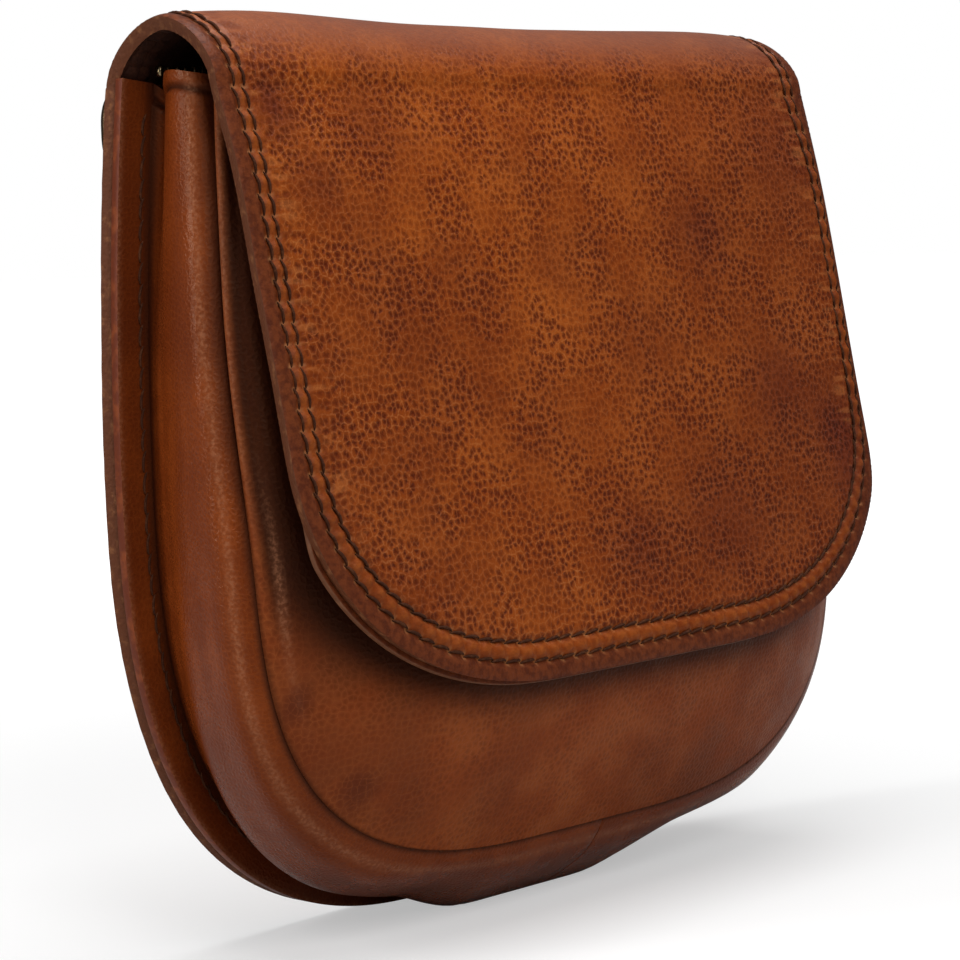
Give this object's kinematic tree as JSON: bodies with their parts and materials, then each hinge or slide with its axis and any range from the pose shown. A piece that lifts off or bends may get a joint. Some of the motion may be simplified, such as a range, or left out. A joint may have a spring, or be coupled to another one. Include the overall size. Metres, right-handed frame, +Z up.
{
  "type": "crossbody bag",
  "caption": "Small leather saddle-shaped crossbody bag: one hide forms the back, an arch over the mouth and a long front flap, with a bulging gusset and ring tabs for a strap.",
  "frame": {"origin": "middle of the bag's box, on the surface that it stands on", "axes": "+X to the right as seen from the front, the flap faces -Y, +Z up"},
  "size_m": [0.206, 0.0722, 0.1983],
  "materials": {
    "hide_leather": "oiled pebble grain, satin",
    "gusset_leather": "smooth pull-up, semi-gloss",
    "front_leather": "fine grain, satin",
    "zip_cloth": "matte woven tape",
    "dark_metal": "aged, satin"
  },
  "bodies": {
    "root": {"back_and_flap": "hide_leather", "gusset_left": "gusset_leather", "gusset_right": "gusset_leather", "front_panel": "front_leather", "zip_tape": "zip_cloth", "zip_teeth": "dark_metal", "strap_tab_left": "hide_leather", "strap_tab_right": "hide_leather", "strap_ring_left": "dark_metal", "strap_ring_right": "dark_metal"}
  },
  "joints": []
}
